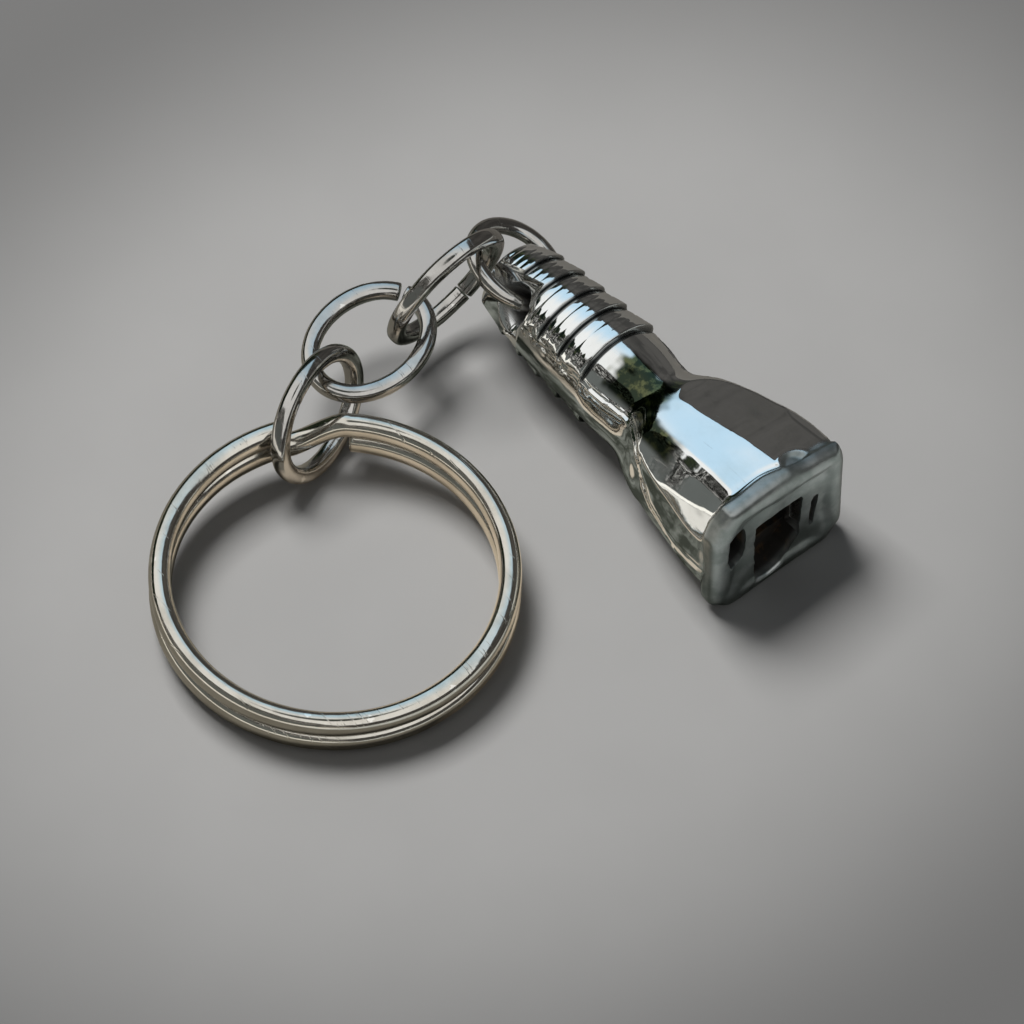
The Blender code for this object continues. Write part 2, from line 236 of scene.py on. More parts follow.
def cut_facets(r, t, a, head, top):
    """Flats of the head; off the head they move outward and leave the casting alone."""
    away = 0.9 * (1.0 - head)
    # three facets turn the top into the -Y flat, each starting at the last one's edge
    facets = (125.0, 138.0, 150.0)
    first, second, third = (math.radians(middle) for middle in facets)
    corner_y = -3.45 - 0.05 * (t - 26.0)
    depth_1 = corner_y * math.cos(first) + top * math.sin(first)
    edge = np.radians(130.0)
    depth_2 = depth_1 / math.cos(edge - first) * math.cos(edge - second)
    edge = np.radians(np.clip(157.0 - 19.0 * (t - 25.5) / 8.1, 138.0, 160.0))
    depth_3 = depth_2 / np.cos(edge - second) * np.cos(edge - third)
    for middle, depth, blend in zip(facets, (depth_1, depth_2, depth_3), (0.05, 0.05, 0.06)):
        r = cut_facet(r, a, middle, depth + away, blend)
    # narrow facet along the upper +Y corner
    r = cut_facet(r, a, 66.0, 7.30 + 0.045 * (t - 27.0) + away, 0.10)
    # the top leans a few degrees towards +Y past its middle
    lean = math.radians(81.5)
    lean_y = np.clip(0.1 + 0.137 * (t - 24.4), -0.6, 1.3)
    depth = lean_y * math.cos(lean) + top * math.sin(lean) + 0.6 * fall(t, 19.6, 22.4)
    r = cut_facet(r, a, 81.5, depth, 0.03)
    # chamfers along both lower corners
    for middle in (226.0, 314.0):
        r = cut_facet(r, a, middle, 7.45 + 0.10 * (t - 30.0) + away, 0.12)
    # flats sink a little between their edges: middle, width in degrees, depth
    for middle, width, depth in (
            (103.0, 14.0, 0.03), (176.0, 11.0, 0.12), (0.0, 20.0, 0.10), (360.0, 20.0, 0.10)):
        r = r - head * depth * bell(a, middle, width)
    return r


def add_ribs(r, t, a, p):
    """Ribs on the top and the underside, with a blotchy strip where they run out."""
    off = from_vertical(a)
    fade = fall(off + 4.0 * noise(p, 0.9, 5), 50.0, 62.0)
    r = r + rib_height(t) * fade * np.where(t > 0.2, 1.0, 0.0)
    strip = bell(off, 62.0, 6.5) * rise(t, 2.2, 4.0) * fall(t, 13.5, 16.5)
    return r + strip * (0.085 * noise(p, 0.62, 1) + 0.05 * noise(p, 0.27, 2))


def add_parting_lines(r, t, a, p):
    """On both sides: a bead on the grip, then a groove between two beads up to the lip."""
    for angle in ((a, (540.0 - a) % 360.0)):
        gap, run = polyline_gap(t, angle, LEDGE)
        gap = gap + 0.05 * noise(p, 1.3, 4)
        beads = 0.085 * bell(np.abs(gap), 0.34, 0.13)
        r = r + run * (-0.15 * bell(gap, 0.0, 0.17) + beads)
        r = r - run * 0.10 * rise(gap, 0.3, 0.7) * fall(gap, 1.6, 3.2)
        gap, run = polyline_gap(t, angle, BAND)
        r = r + run * 0.07 * bell(gap, 0.0, 0.14)
    return r


def radius(t, a):
    """Radius of the casting at station t and angle a."""
    cos, sin = np.cos(np.radians(a)), np.sin(np.radians(a))
    power = squareness(t)
    plain = (np.abs(cos / half_width(t)) ** power
             + np.abs(sin / half_height(t)) ** power) ** (-1.0 / power)
    p = np.stack([TAIL_X + t, plain * cos, plain * sin], -1)
    # the flats sit below the lip, which narrows at the upper +Y corner
    lip_t = LENGTH - 2.05 + 0.95 * bell(a, 48.0, 26.0) + 0.34 * noise(p, 3.1, 3)
    sunk = 0.40 * rise(t, 22.0, 28.0) * fall(t, lip_t - 0.35, lip_t + 0.55)
    r = plain - sunk
    r = r - 0.10 * rise(t, lip_t - 0.9, lip_t - 0.25) * fall(t, lip_t - 0.25, lip_t + 0.25)
    head = rise(t, 20.5, 23.5) * fall(t, lip_t - 0.45, lip_t + 0.35)
    r = cut_facets(r, t, a, head, half_height(t) - sunk)
    # the neck is fuller low on the -Y side
    r = r + 0.60 * bell(t, 20.6, 3.6) * bell(a, 207.0, 24.0)
    r = add_ribs(r, t, a, p)
    r = add_parting_lines(r, t, a, p)
    # arched dent near the lip, with a fine rim
    along, reach = dent_place(t, a)
    r = (r - 0.22 * np.where(along < 0.15, 1.0, 0.0) * fall(reach, 0.55, 1.0)
         + 0.05 * bell(reach, 1.08, 0.11) * np.where(along < 0.2, 1.0, 0.0))
    # plating never lies quite flat
    return r + 0.022 * noise(p, 2.6, 6) + 0.009 * noise(p, 1.05, 7)


DOME_FRACTIONS = (0.12, 0.25, 0.4, 0.55, 0.68, 0.79, 0.88, 0.94, 0.98)
RIB_FOOT_STEPS = (-0.085, -0.05, -0.02, 0.0, 0.025, 0.05, 0.08, 0.12, 0.17)
KEY_COLUMNS = 248
LIP_ROLL = 1.45  # how far the rolled lip turns inward


def key_stations():
    """Rows along the casting, closest at the foot of each rib and near the lip."""
    ts = [0.0, 0.2, 0.4]
    for lo, hi in zip(RIB_STARTS, RIB_STARTS[1:]):
        ts += list(np.linspace(lo + 0.02, hi - 0.12, 17))
        ts += [hi + step for step in RIB_FOOT_STEPS]
    ts += list(np.arange(14.2, LENGTH - 3.3, 0.155))
    ts += list(np.arange(LENGTH - 3.3, LENGTH - 1.15, 0.10))
    ts = sorted(set(round(float(t), 4) for t in ts))
    return [ts[0]] + [t for i, t in enumerate(ts[1:]) if t - ts[i] > 0.012]


def ring_row(t, r, a):
    ang = np.radians(a)
    return np.stack([np.full(len(a), TAIL_X + t), r * np.cos(ang), r * np.sin(ang)], -1)


def key_mesh():
    a = np.arange(KEY_COLUMNS) * 360.0 / KEY_COLUMNS
    rows = []
    # domed tip
    tail = radius(np.full(KEY_COLUMNS, 0.0), a)
    for f in DOME_FRACTIONS:
        t = -TAIL_DOME * math.sqrt(max(1.0 - f ** 2.6, 0.0))
        rows.append(ring_row(t, tail * f, a))
    stations = key_stations()
    for t in stations:
        rows.append(ring_row(t, radius(np.full(KEY_COLUMNS, t), a), a))
    # rolled lip: swells, turns over and runs down into the end face
    last = stations[-1]
    base = radius(np.full(KEY_COLUMNS, last), a)
    for i in range(1, 19):
        th = math.pi * 0.5 * i / 18
        r = base + 0.10 * math.sin(2.0 * th) - LIP_ROLL * (1.0 - math.cos(th))
        rows.append(ring_row(last + (LENGTH - last) * math.sin(th), r, a))
    # end face, dished a little inside the lip, with soft lobes
    for f in np.linspace(0.97, 0.04, 34):
        r = (base - LIP_ROLL) * f
        y, z = r * np.cos(np.radians(a)), r * np.sin(np.radians(a))
        p = np.stack([np.full(KEY_COLUMNS, 0.0), y, z], -1)
        dish = ((0.30 + 0.12 * noise(p, 2.2, 14)) * rise(1.0 - f, 0.0, 0.20)
                + 0.10 * noise(p, 3.4, 8) * rise(1.0 - f, 0.02, 0.3))
        rows.append(np.stack([MOUTH_X - np.maximum(dish, 0.0), y, z], -1))
    return grid_mesh("bleed_key_casting", np.stack(rows))


# ---- cutters for the casting -------------------------------------------------
# outlines of the holes in the end face: y, z
RECESS = (
    (-SOCKET_HALF - 0.15, 2.45), (-SOCKET_HALF + 0.4, SOCKET_HALF),
    (SOCKET_HALF - 0.3, SOCKET_HALF - 0.05), (SOCKET_HALF, SOCKET_HALF - 0.5),
    (SOCKET_HALF - 0.25, -SOCKET_HALF - 0.4), (SOCKET_HALF - 1.3, -SOCKET_HALF - 1.7),
    (-0.35, RECESS_LOW + 0.30), (-1.5, RECESS_LOW + 0.12),
    (-SOCKET_HALF - 0.1, RECESS_LOW + 0.45), (-SOCKET_HALF - 0.25, -1.5),
)
LEFT_POCKET = (  # on the -Y side
    (-5.85, 3.3), (-5.95, 0.4), (-5.6, -0.75), (-4.95, -0.85), (-4.1, -0.4),
    (-3.8, 0.5), (-3.85, 3.0), (-4.15, 3.75), (-5.1, 3.85),
)
RIGHT_POCKET = (  # on the +Y side
    (4.25, 1.25), (3.95, 1.2), (3.65, 0.7), (3.5, -0.9), (3.45, -2.3),
    (3.6, -2.85), (3.95, -2.7), (4.2, -1.2), (4.4, 0.3), (4.42, 0.95),
)


def rounded_square(half, corner, steps=7):
    pts = []
    for side_y, side_z, start in ((1, 1, 0), (-1, 1, 90), (-1, -1, 180), (1, -1, 270)):
        for k in range(steps + 1):
            a = math.radians(start + 90.0 * k / steps)
            pts.append((side_y * (half - corner) + corner * math.cos(a),
                        side_z * (half - corner) + corner * math.sin(a)))
    return pts


def flared_cutter(name, outline, x0, x1, flare, ragged, seed):
    """A hole from x0 to x1 whose mouth rolls outward, so its edge is rounded."""
    corners = np.asarray(outline, float)
    edges = np.roll(corners, -1, 0) - corners
    pieces = []
    for corner, edge in zip(corners, edges):
        n = max(1, int(np.ceil(np.hypot(*edge) / 0.16)))
        pieces.append(corner + edge * (np.arange(n) / n)[:, None])
    loop = np.concatenate(pieces)
    tangent = np.roll(loop, -1, 0) - np.roll(loop, 1, 0)
    normal = np.stack([tangent[:, 1], -tangent[:, 0]], -1)
    normal /= np.linalg.norm(normal, axis=1)[:, None]
    if np.cross(loop[0] - loop.mean(0), tangent[0]) < 0:
        normal = -normal
    p = np.concatenate([np.zeros((len(loop), 1)), loop], 1)
    wobble = ragged * (0.65 * noise(p, 0.85, 20 + seed) + 0.35 * noise(p, 0.33, 30 + seed))
    # x and outward offset of each row
    rows = [(x, 0.25 * wobble) for x in np.linspace(x0, x1 - flare - 0.7, 8)]
    rows += [(x, 0.6 * wobble) for x in (x1 - flare - 0.45, x1 - flare - 0.2)]
    for i in range(9):
        th = math.pi * 0.5 * i / 8
        rows.append((x1 - flare + flare * math.sin(th), wobble + flare * (1.0 - math.cos(th))))
    rows.append((x1 + 1.5, wobble + flare * 1.6))
    pts = [np.concatenate([np.full((len(loop), 1), x), loop + normal * out[:, None]], 1)
           for x, out in rows]
    return grid_mesh(name, np.stack(pts))


def hole_frame():
    """Middle of the eye, the direction of its bore, and the way the eye ring hangs."""
    tilt, swing = math.radians(EYE_TILT), math.radians(EYE_SWING)
    bore = Vector((0.0, math.cos(tilt), math.sin(tilt)))
    along = Vector((1.0, 0.0, 0.0))
    hang = -along * math.cos(swing) + along.cross(bore) * math.sin(swing)
    return Vector((TAIL_X + EYE_AT, 0.0, 0.0)), bore.normalized(), hang.normalized()


def eye_cutter():
    """Round bore that widens on the tail side to follow the eye ring, flared at both ends."""
    centre, bore, _ = (np.array(v) for v in hole_frame())
    back = np.array([-1.0, 0.0, 0.0])
    side = np.cross(bore, back)
    plain, inner = EYE_WIRE + EYE_PLAY, EYE_R - EYE_WIRE - EYE_PLAY
    ang = 2.0 * math.pi * (np.arange(48) + 0.5) / 48
    open_out = fall(np.degrees(np.arccos(np.cos(ang))), 84.0, 128.0)
    rows = []
    for i in range(21):
        along = 2.95 * math.sin(math.pi * 0.5 * (2.0 * i / 20 - 1.0))
        wide = EYE_R - math.sqrt(inner ** 2 - along * along)
        flare = 0.30 * float(rise(abs(along), 2.15, 2.9)) ** 2
        r = 1.015 * (plain + (wide - plain) * open_out) + flare
        rows.append(centre + bore * along + back * (r * np.cos(ang))[:, None]
                    + side * (r * np.sin(ang))[:, None])
    rows.insert(0, rows[0] - bore * 3.0)
    rows.append(rows[-1] + bore * 3.0)
    return grid_mesh("cutter_eye", np.stack(rows))


def flat_cutter(side):
    """Prism that flattens the tail at one end of the bore, sloping out towards the grip."""
    centre, bore, _ = hole_frame()
    along = Vector((1.0, 0.0, 0.0))
    across = bore.cross(along)
    outer = 5.6
    section = ((-6.5, FLAT_AT), (FLAT_RUN, FLAT_AT), (FLAT_RUN + 1.3, outer), (-6.5, outer))
    verts = [tuple(centre + along * x + bore * (side * depth) + across * reach)
             for reach in (-6.0, 6.0) for x, depth in section]
    faces = [(0, 1, 2, 3), (7, 6, 5, 4), (0, 4, 5, 1), (1, 5, 6, 2), (2, 6, 7, 3), (3, 7, 4, 0)]
    return finish_mesh("cutter_flat", verts, faces)


def rest_cutter():
    """Box that trims the underside to the table."""
    verts = [(x, y, z) for x in (-9.0, 13.0) for y in (-9.0, 9.0)
             for z in (TABLE_Z - 3.0, TABLE_Z)]
    faces = [(0, 1, 3, 2), (4, 6, 7, 5), (0, 4, 5, 1), (2, 3, 7, 6), (0, 2, 6, 4), (1, 5, 7, 3)]
    return finish_mesh("cutter_rest", verts, faces)


def carve(body, cutters):
    """Subtract the cutters from body, bake the result and remove them."""
    for cutter in cutters:
        cut = body.modifiers.new(cutter.name, "BOOLEAN")
        cut.operation, cut.solver, cut.object = "DIFFERENCE", "EXACT", cutter
    bpy.context.view_layer.update()
    depsgraph = bpy.context.evaluated_depsgraph_get()
    mesh = bpy.data.meshes.new_from_object(body.evaluated_get(depsgraph))
    body.modifiers.clear()
    old = body.data
    body.data = mesh
    bpy.data.meshes.remove(old)
    for cutter in cutters:
        data = cutter.data
        bpy.data.objects.remove(cutter)
        bpy.data.meshes.remove(data)
    bm = bmesh.new()
    bm.from_mesh(mesh)
    bmesh.ops.dissolve_degenerate(bm, edges=bm.edges, dist=1e-7)
    bm.to_mesh(mesh)
    bm.free()


# ---- finished casting --------------------------------------------------------
def store(mesh, name, values):
    layer = mesh.attributes.new(name, "FLOAT", "POINT")
    layer.data.foreach_set("value", np.clip(values, 0, 1).astype(np.float32))


def paint_key(mesh):
    """Point attributes the chrome material reads."""
    co = np.zeros(len(mesh.vertices) * 3, np.float32)
    mesh.vertices.foreach_get("co", co)
    p = co.reshape(-1, 3).astype(float) / MM
    x, y, z = p.T
    t = x - MOUTH_X + LENGTH
    a = np.degrees(np.arctan2(z, y)) % 360.0
    r = np.hypot(y, z)

    # inside the holes, where it is unplated, rust brown under near-black painted shade: y from, y
    # to, z from, z to, x from
    pocket_x = MOUTH_X - POCKET_DEPTH - 0.1
    boxes = (
        (-SOCKET_HALF - 0.45, SOCKET_HALF + 0.2, RECESS_LOW + 0.1, SOCKET_HALF + 0.2, -0.1),
        (-6.3, -3.5, -1.2, 4.2, pocket_x),
        (3.2, 4.7, -3.2, 1.6, pocket_x),
    )
    inside = np.zeros(len(p))
    under = r < radius(t, a) - 0.55
    depth = rise(MOUTH_X - 0.28 - x, 0.0, 0.9)
    for y0, y1, z0, z1, x0 in boxes:
        within = (y > y0) & (y < y1) & (z > z0) & (z < z1) & (x > x0) & under
        inside = np.where(within, np.maximum(inside, depth), inside)
    eye = rise(3.4 - r, 0.0, 1.2) * ((x < -17.0) & (x > -24.6))
    store(mesh, "inside", np.maximum(inside, 0.8 * eye))

    # painted shade in the grooves between the ribs, at the foot of each step
    groove_shade = np.zeros(len(p))
    for start in RIB_STARTS[1:]:
        groove_shade = np.maximum(groove_shade, bell(t - start, 0.06, 0.15))
    store(mesh, "groove_shade", groove_shade * fall(from_vertical(a), 52.0, 64.0) * (r > 2.9))

    # painted reflection: a dark greenish tint from the top of the neck towards -Y, and on along the
    # first facets
    neck = (rise(t + 0.8 * noise(p, 0.55, 13), 15.3, 16.4)
            * fall(t + 0.55 * noise(p, 0.8, 9), 21.2, 22.6)
            * rise(a + 5.0 * noise(p, 0.7, 10), 80.0, 88.0) * fall(a, 130.0, 140.0))
    facets = (rise(t, 20.5, 22.0) * fall(t, 25.6, 27.2)
              * rise(a + 3.0 * noise(p, 0.7, 12), 118.0, 124.0) * fall(a, 137.0, 143.0))
    store(mesh, "neck_dark_reflection", np.maximum(neck, facets))

    # satin lip, end face and dent
    _, reach = dent_place(t, a)
    lip = rise(t, LENGTH - 2.3, LENGTH - 1.5)
    store(mesh, "satin", np.maximum(lip, fall(reach, 0.9, 1.15) * (t > 30.0)))


def build_key(mat):
    body = key_mesh()
    pocket_x = MOUTH_X - POCKET_DEPTH
    carve(body, [
        flared_cutter("cutter_socket", rounded_square(SOCKET_HALF, 0.3), 0.0,
                      MOUTH_X - RECESS_DEPTH + 0.35, flare=0.28, ragged=0.04, seed=1),
        flared_cutter("cutter_recess", RECESS, MOUTH_X - RECESS_DEPTH, MOUTH_X,
                      flare=0.34, ragged=0.13, seed=2),
        flared_cutter("cutter_left", LEFT_POCKET, pocket_x, MOUTH_X,
                      flare=0.30, ragged=0.14, seed=3),
        flared_cutter("cutter_right", RIGHT_POCKET, pocket_x, MOUTH_X,
                      flare=0.22, ragged=0.08, seed=4),
        eye_cutter(), flat_cutter(1), flat_cutter(-1), rest_cutter(),
    ])
    mesh = body.data
    mesh.materials.clear()
    mesh.materials.append(mat)
    mesh.shade_smooth()
    mesh.set_sharp_from_angle(angle=math.radians(48.0))
    paint_key(mesh)
    return body


# ---- wire pieces -------------------------------------------------------------
def sweep(name, pts, side, up, half_a, half_b, power, cols, mat, rough, seed, round_ends=0.0):
    """A wire of superellipse section along pts, closed unless its ends are rounded.

    side holds a unit vector per point, up is one for all; half_a and half_b go with them.
    """
    ang = 2.0 * math.pi * (np.arange(cols) + 0.5) / cols
    cos, sin = np.cos(ang), np.sin(ang)
    reach = (np.abs(cos) ** power + np.abs(sin) ** power) ** (-1.0 / power)
    middle = pts[:, None, :]
    rows = (middle + side[:, None, :] * (half_a * reach * cos)[None, :, None]
            + up * (half_b * reach * sin)[None, :, None])
    flat = rows.reshape(-1, 3)
    swell = rough * noise(flat, 1.9, 40 + seed) + 0.4 * rough * noise(flat, 0.7, 50 + seed)
    rows = rows + ((rows - middle) / half_a) * swell.reshape(len(pts), cols, 1)

    def end_rows(row, at, before):
        outward = (at - before) / np.linalg.norm(at - before)
        extra = []
        for i in range(1, 6):
            th = math.pi * 0.5 * i / 5
            keep = 1.0 - (round_ends / half_a) * (1.0 - math.cos(th))
            extra.append(at + (row - at) * keep + outward * (round_ends * math.sin(th)))
        return extra

    if round_ends:
        start = end_rows(rows[0], pts[0], pts[1])[::-1]
        end = end_rows(rows[-1], pts[-1], pts[-2])
        rows = np.concatenate([np.stack(start), rows, np.stack(end)])
    return grid_mesh(name, rows, closed=not round_ends, mat=mat, sharp_angle=40.0)


def build_eye_ring(mat):
    centre, bore, hang = (np.array(v) for v in hole_frame())
    a = 2.0 * math.pi * np.arange(220) / 220
    radial = bore[None, :] * np.cos(a)[:, None] + hang[None, :] * np.sin(a)[:, None]
    pts = centre + hang * EYE_R + radial * EYE_R
    return sweep("eye_ring_wire", pts, radial, np.cross(bore, hang), EYE_WIRE, EYE_WIRE,
                 power=2.0, cols=30, mat=mat, rough=0.010, seed=1)


def build_link(name, centre, rotation, cut_at, gap, chamfer, mat, seed):
    """An oval link, cut through at cut_at degrees."""
    axis = Vector(rotation)
    turn = np.array(Matrix.Rotation(axis.length, 3, axis.normalized()))
    half_gap = math.degrees(gap / (2.0 * LINK_A)) * 1.1
    trim = math.degrees(chamfer / LINK_B)
    n = 190
    span = 360.0 - 2.0 * (half_gap + trim)
    a = np.radians(cut_at + half_gap + trim + span * np.arange(n + 1) / n)
    oval = np.stack([LINK_A * np.cos(a), LINK_B * np.sin(a), 0 * a], -1)
    tangent = np.stack([-LINK_A * np.sin(a), LINK_B * np.cos(a), 0 * a], -1)
    tangent /= np.linalg.norm(tangent, axis=1)[:, None]
    up = turn @ np.array([0.0, 0.0, 1.0])
    return sweep(name, np.array(centre) + oval @ turn.T, np.cross(up, tangent @ turn.T), up,
                 WIRE_R, WIRE_R, power=2.6, cols=30, mat=mat, rough=0.016, seed=seed,
                 round_ends=chamfer)


def build_split_ring(mat):
    """Nearly two turns of wire with a jog up between them, leaning on one edge."""
    toward = math.radians(RING_TOWARD)
    out = Vector((math.cos(toward), math.sin(toward), 0.0))
    foot = np.array(Vector(RING_AT) - out * RING_R)
    hinge = out.cross(Vector((0.0, 0.0, 1.0)))
    lean = np.array(Matrix.Rotation(math.radians(RING_LEAN), 3, hinge))
    n = 900
    start = RING_JOG_AT + RING_JOG / 2.0 + RING_END_GAP
    ang = start + (720.0 - RING_JOG - 2.0 * RING_END_GAP) * np.arange(n + 1) / n
    jog = (ang - (RING_JOG_AT + 360.0) + RING_JOG / 2.0) / RING_JOG
    lift = (RING_T + RING_SEAM) * rise(jog, 0.0, 1.0)
    a = np.radians(2.0 * RING_JOG_AT - ang)
    radial = np.stack([np.cos(a), np.sin(a), 0 * a], -1)
    middle = np.array([RING_AT[0], RING_AT[1], RING_AT[2] + RING_T / 2.0])
    level = middle + radial * (RING_R - RING_W / 2.0) + np.stack([0 * a, 0 * a, lift], -1)
    return sweep("split_ring_wire", foot + (level - foot) @ lean.T, radial @ lean.T,
                 lean @ np.array([0.0, 0.0, 1.0]), RING_W / 2.0, RING_T / 2.0, power=2.2,
                 cols=36, mat=mat, rough=0.010, seed=7, round_ends=0.30)


# ---- materials ---------------------------------------------------------------
class Net:
    """Short hand for building a node tree."""

    def __init__(self, tree):
        self.tree = tree

    def add(self, kind, **sets):
        node = self.tree.nodes.new(kind)
        for key, value in sets.items():
            setattr(node, key, value)
        return node

    def link(self, a, b):
        self.tree.links.new(a, b)

    def put(self, socket, value):
        if isinstance(value, bpy.types.NodeSocket):
            self.link(value, socket)
        else:
            # colours are given without their alpha
            socket.default_value = (*value, 1.0) if isinstance(value, tuple) else value

    def fill(self, node, slots, values):
        for slot, value in zip(slots, values):
            self.put(node.inputs[slot], value)

    def math(self, operation, a, b):
        node = self.add("ShaderNodeMath", operation=operation)
        self.fill(node, (0, 1, 2), (a, b, 0.0))
        return node.outputs[0]

    def times(self, a, b):
        return self.math("MULTIPLY", a, b)

    def plus(self, a, b):
        return self.math("ADD", a, b)

    def mix(self, f, a, b):
        node = self.add("ShaderNodeMix", data_type="RGBA")
        self.fill(node, (0, 6, 7), (f, a, b))
        return node.outputs[2]

    def mix_value(self, f, a, b):
        node = self.add("ShaderNodeMix", data_type="FLOAT")
        self.fill(node, (0, 2, 3), (f, a, b))
        return node.outputs[0]

    def noise(self, vector, scale, detail=3.0, rough=0.55):
        node = self.add("ShaderNodeTexNoise")
        self.fill(node, ("Vector", "Scale", "Detail", "Roughness"), (vector, scale, detail, rough))
        return node.outputs["Fac"]

    def band(self, value, lo, hi, low=0.0, high=1.0):
        """Smooth step from low at lo to high at hi."""
        node = self.add("ShaderNodeMapRange", interpolation_type="SMOOTHSTEP")
        self.fill(node, ("Value", "From Min", "From Max", "To Min", "To Max"),
                  (value, lo, hi, low, high))
        return node.outputs["Result"]

    def mottle(self, vector, scale, lo, hi, a, b, detail=4.0, rough=0.65):
        """Colour a broken up by b, where noise passes from lo to hi."""
        return self.mix(self.band(self.noise(vector, scale, detail, rough), lo, hi), a, b)

    def attribute(self, name):
        return self.add("ShaderNodeAttribute", attribute_name=name).outputs["Fac"]


def new_material(name):
    mat = bpy.data.materials.new(name)
    mat.use_nodes = True
    net = Net(mat.node_tree)
    co = net.add("ShaderNodeTexCoord").outputs["Object"]
    return mat, net, mat.node_tree.nodes["Principled BSDF"], co


def key_tones(net, co, bsdf, colour, rough, height):
    """Lay the casting's painted attributes over the plating."""
    inside, groove_shade, satin = (net.attribute(name) for name in ("inside", "groove_shade", "satin"))
    # inside the holes: rust brown mottled with near-black painted shade
    rust_and_shade = net.mottle(co, scale=620.0, lo=0.48, hi=0.66,
                       a=(0.018, 0.016, 0.014), b=(0.10, 0.060, 0.028))
    # painted reflection: a dark green tint on the neck and the first facets of the head
    neck_dark_reflection = net.attribute("neck_dark_reflection")
    dark_green_reflection = net.mottle(co, scale=900.0, lo=0.46, hi=0.62,
                       a=(0.012, 0.022, 0.010), b=(0.085, 0.095, 0.040))
    colour = net.mix(net.times(neck_dark_reflection, 0.98), colour, dark_green_reflection)
    cloudy = net.mottle(co, scale=520.0, rough=0.6, lo=0.38, hi=0.66,
                        a=(0.16, 0.185, 0.178), b=(0.27, 0.29, 0.29))
    colour = net.mix(net.times(satin, 0.88), colour, cloudy)
    # painted shade: the grooves between the ribs go near black
    colour = net.mix(net.times(groove_shade, 0.96), colour, (0.018, 0.024, 0.024))
    colour = net.mix(inside, colour, rust_and_shade)
    satin_rough = net.band(net.noise(co, scale=420.0), lo=0.35, hi=0.7, low=0.34, high=0.48)
    rough = net.mix_value(satin, rough, satin_rough)
    rough = net.mix_value(inside, rough, 0.55)
    rough = net.plus(rough, net.times(groove_shade, 0.22))
    net.put(bsdf.inputs["Metallic"], net.math("SUBTRACT", 1.0, net.times(inside, 0.55)))
    pits = net.times(net.noise(co, scale=2400.0, rough=0.6), net.times(inside, 1.6))
    return colour, rough, net.plus(height, pits)


def plated(name, base, tint, rough, orange_peel, scratch, key=False):
    mat, net, bsdf, co = new_material(name)
    pointiness = net.add("ShaderNodeNewGeometry").outputs["Pointiness"]
    blotch = net.noise(co, scale=260.0, detail=4.0, rough=0.6)
    fine = net.noise(co, scale=1500.0, rough=0.6)
    # painted highlight: edges lighter; painted shade: valleys a little darker, and rougher
    edge = net.band(pointiness, lo=0.53, hi=0.60)
    valley_shade = net.band(pointiness, lo=0.47, hi=0.40)
    colour = net.mix(net.band(blotch, lo=0.35, hi=0.70), base, tint)
    # painted highlight: the edges turn lighter
    colour = net.mix(net.times(edge, 0.45), colour, (0.92, 0.91, 0.88))
    # painted shade: the valleys turn darker
    colour = net.mix(net.times(valley_shade, 0.55), colour, (0.22, 0.21, 0.18))
    uneven = net.mix_value(net.band(blotch, lo=0.40, hi=0.75), rough * 0.75, rough * 1.6)
    uneven = net.plus(uneven, net.times(net.band(fine, lo=0.55, hi=0.80), 0.05))
    uneven = net.plus(uneven, net.times(valley_shade, 0.10))
    # hairline scratches: noise stretched along one direction
    stretch = net.add("ShaderNodeMapping")
    net.link(co, stretch.inputs["Vector"])
    stretch.inputs["Rotation"].default_value = (0.3, 0.5, 0.7)
    stretch.inputs["Scale"].default_value = (60.0, 4200.0, 900.0)
    lines = net.noise(stretch.outputs["Vector"], scale=1.0, detail=2.0, rough=0.5)
    peel = net.times(net.noise(co, scale=900.0, detail=2.0, rough=0.5), orange_peel)
    height = net.plus(peel, net.times(net.band(lines, lo=0.62, hi=0.72), -scratch))
    if key:
        colour, uneven, height = key_tones(net, co, bsdf, colour, uneven, height)
    else:
        bsdf.inputs["Metallic"].default_value = 1.0
    bump = net.add("ShaderNodeBump")
    net.fill(bump, ("Strength", "Distance", "Height"), (1.0, 0.00002, height))
    net.fill(bsdf, ("Base Color", "Roughness", "Normal"),
             (colour, uneven, bump.outputs["Normal"]))
    return mat


def floor_reflection(net, co):
    """Painted reflections: what the plating sees of the floor, patches placed in scene metres."""
    xyz = net.add("ShaderNodeSeparateXYZ")
    net.link(co, xyz.inputs[0])
    x = net.plus(xyz.outputs["X"], FLOOR_AT[0])
    y = net.plus(xyz.outputs["Y"], FLOOR_AT[1])
    grain = net.noise(co, scale=230.0, detail=4.0, rough=0.6)
    ragged = net.times(net.math("SUBTRACT", grain, 0.5), 0.004)

    def y_band(lo, hi):
        return net.band(net.plus(y, ragged), lo, hi)

    # painted reflection: painted shade, dark and mottled, near the key; a warm grey sheet towards
    # -Y
    sheet = y_band(-0.0110, -0.0140)
    near = net.mottle(co, scale=190.0, lo=0.42, hi=0.62,
                      a=(0.055, 0.060, 0.048), b=(0.25, 0.26, 0.23))
    seen = net.mix(sheet, near, (0.24, 0.225, 0.19))
    # painted reflection of a bright warm pool of light on the sheet
    pool = net.times(y_band(-0.0112, -0.0130), y_band(-0.034, -0.030))
    sides = net.times(net.band(x, lo=-0.0250, hi=-0.0215), net.band(x, lo=0.008, hi=0.004))
    seen = net.mix(net.times(pool, sides), seen, (0.70, 0.61, 0.49))
    # painted reflection: brownish towards +Y, pale past the mouth, nearly white far towards -Y
    seen = net.mix(y_band(0.000, 0.006), seen, (0.17, 0.16, 0.145))
    seen = net.mix(net.band(x, lo=0.010, hi=0.017), seen, (0.78, 0.81, 0.78))
    return net.mix(net.band(y, lo=-0.080, hi=-0.088), seen, (1.0, 0.965, 0.89))


